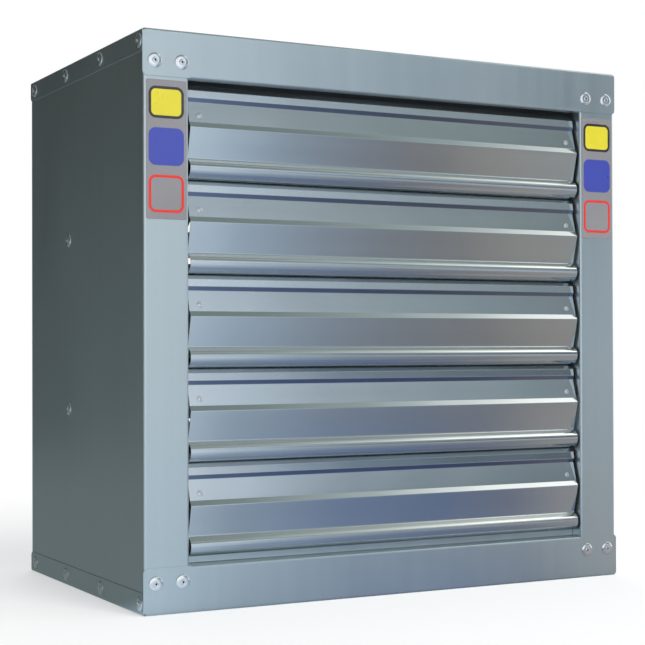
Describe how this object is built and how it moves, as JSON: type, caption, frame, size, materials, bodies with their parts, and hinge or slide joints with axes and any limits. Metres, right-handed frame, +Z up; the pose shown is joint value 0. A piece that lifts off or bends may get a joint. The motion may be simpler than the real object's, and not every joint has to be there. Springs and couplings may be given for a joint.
{
  "type": "belt drive exhaust fan",
  "caption": "Square sheet-metal box fan with a belt-driven impeller, a motor, a wire guard and linked gravity shutter blades.",
  "frame": {"origin": "bottom centre of the box, on the surface it stands on", "axes": "+X right seen from the shutter side, +Y rearward to the inlet, +Z up; the shutter faces -Y"},
  "size_m": [0.6244, 0.4044, 0.62],
  "materials": {
    "galvanised_sheet": "galvanised steel, fine spangle, satin",
    "galvanised_blade": "bright galvanised steel, finely brushed along the length",
    "zinc_plated_steel": "zinc plated, satin",
    "rivet_aluminium": "bright, domed",
    "label_vinyl": "silver-grey vinyl with plain colour patches",
    "nylon": "black nylon",
    "painted_plate": "dark grey paint",
    "bearing_steel": "ground and polished",
    "machined_steel": "turned",
    "cast_iron": "cast and painted dark grey",
    "impeller_steel": "galvanised, satin",
    "belt_rubber": "matte black",
    "laminated_steel": "stacked sheets, varnished",
    "motor_paint": "blue-grey machine enamel",
    "black_plastic": "black, satin"
  },
  "bodies": {
    "casing": {"left_side_panel": "galvanised_sheet", "right_side_panel": "galvanised_sheet", "top_panel": "galvanised_sheet", "bottom_panel": "galvanised_sheet", "front_rivets": "rivet_aluminium", "flange_rivets": "rivet_aluminium", "rear_rivets": "rivet_aluminium", "wall_rivets": "rivet_aluminium", "stile_labels": "label_vinyl", "pivot_bushes": "nylon", "venturi_panel": "galvanised_sheet", "venturi_bell": "galvanised_sheet", "venturi_sleeve": "galvanised_sheet", "upper_strut": "galvanised_sheet", "lower_strut": "galvanised_sheet", "bearing_plate": "painted_plate", "frame_bolts": "zinc_plated_steel", "bearing_housing": "cast_iron", "bearing_outer_rings": "bearing_steel", "drive_belt": "belt_rubber", "motor_stator": "laminated_steel", "motor_housing": "motor_paint", "front_end_bell": "motor_paint", "rear_end_bell": "motor_paint", "motor_bearings": "bearing_steel", "fan_cowl": "motor_paint", "terminal_box": "motor_paint", "terminal_lid": "motor_paint", "cable_gland": "black_plastic", "motor_base": "galvanised_sheet", "motor_bolts": "zinc_plated_steel", "rear_guard": "zinc_plated_steel", "guard_clips": "zinc_plated_steel"},
    "fan_rotor": {"bearing_inner_rings": "bearing_steel", "fan_shaft": "machined_steel", "impeller_hub": "cast_iron", "impeller_fasteners": "zinc_plated_steel", "impeller_blade_1": "impeller_steel", "impeller_blade_2": "impeller_steel", "impeller_blade_3": "impeller_steel", "impeller_blade_4": "impeller_steel", "impeller_blade_5": "impeller_steel", "impeller_blade_6": "impeller_steel", "fan_pulley": "cast_iron"},
    "ball_sets": {"bearing_balls": "bearing_steel"},
    "motor_drive": {"motor_shaft": "machined_steel", "motor_rotor": "laminated_steel", "motor_pulley": "cast_iron", "cooling_fan": "black_plastic"},
    "louvre_1": {"shutter_blade_1": "galvanised_blade", "pivot_brackets_1": "zinc_plated_steel"},
    "louvre_2": {"shutter_blade_2": "galvanised_blade", "pivot_brackets_2": "zinc_plated_steel"},
    "louvre_3": {"shutter_blade_3": "galvanised_blade", "pivot_brackets_3": "zinc_plated_steel"},
    "louvre_4": {"shutter_blade_4": "galvanised_blade", "pivot_brackets_4": "zinc_plated_steel"},
    "louvre_5": {"shutter_blade_5": "galvanised_blade", "pivot_brackets_5": "zinc_plated_steel"},
    "linkage": {"tie_rod": "zinc_plated_steel"}
  },
  "joints": [
    {"name": "impeller_spin", "type": "hinge", "parent": "casing", "child": "fan_rotor", "pos_m": [0, -0.0855, 0.31], "axis": [0, -1, 0], "continuous": true},
    {"name": "ball_roll", "type": "hinge", "parent": "casing", "child": "ball_sets", "pos_m": [0, 0.002, 0.31], "axis": [0, -1, 0], "continuous": true},
    {"name": "motor_spin", "type": "hinge", "parent": "casing", "child": "motor_drive", "pos_m": [0, -0.0265, 0.492], "axis": [0, -1, 0], "continuous": true},
    {"name": "louvre_1_hinge", "type": "hinge", "parent": "casing", "child": "louvre_1", "pos_m": [0, -0.182, 0.554], "axis": [-1, 0, 0], "range_deg": [0, 80]},
    {"name": "louvre_2_hinge", "type": "hinge", "parent": "casing", "child": "louvre_2", "pos_m": [0, -0.182, 0.4524], "axis": [-1, 0, 0], "range_deg": [0, 80]},
    {"name": "louvre_3_hinge", "type": "hinge", "parent": "casing", "child": "louvre_3", "pos_m": [0, -0.182, 0.3508], "axis": [-1, 0, 0], "range_deg": [0, 80]},
    {"name": "louvre_4_hinge", "type": "hinge", "parent": "casing", "child": "louvre_4", "pos_m": [0, -0.182, 0.2492], "axis": [-1, 0, 0], "range_deg": [0, 80]},
    {"name": "louvre_5_hinge", "type": "hinge", "parent": "casing", "child": "louvre_5", "pos_m": [0, -0.182, 0.1476], "axis": [-1, 0, 0], "range_deg": [0, 80]},
    {"name": "linkage_hinge", "type": "hinge", "parent": "louvre_3", "child": "linkage", "pos_m": [0.2483, -0.15654, 0.37626], "axis": [-1, 0, 0], "range_deg": [-80, 0]}
  ],
  "couplings": [
    {"joint": "ball_roll", "follows": "impeller_spin", "ratio": 0.3974},
    {"joint": "motor_spin", "follows": "impeller_spin", "ratio": 2.223},
    {"joint": "louvre_1_hinge", "follows": "louvre_3_hinge", "ratio": 1},
    {"joint": "louvre_2_hinge", "follows": "louvre_3_hinge", "ratio": 1},
    {"joint": "louvre_4_hinge", "follows": "louvre_3_hinge", "ratio": 1},
    {"joint": "louvre_5_hinge", "follows": "louvre_3_hinge", "ratio": 1},
    {"joint": "linkage_hinge", "follows": "louvre_3_hinge", "ratio": -1}
  ]
}
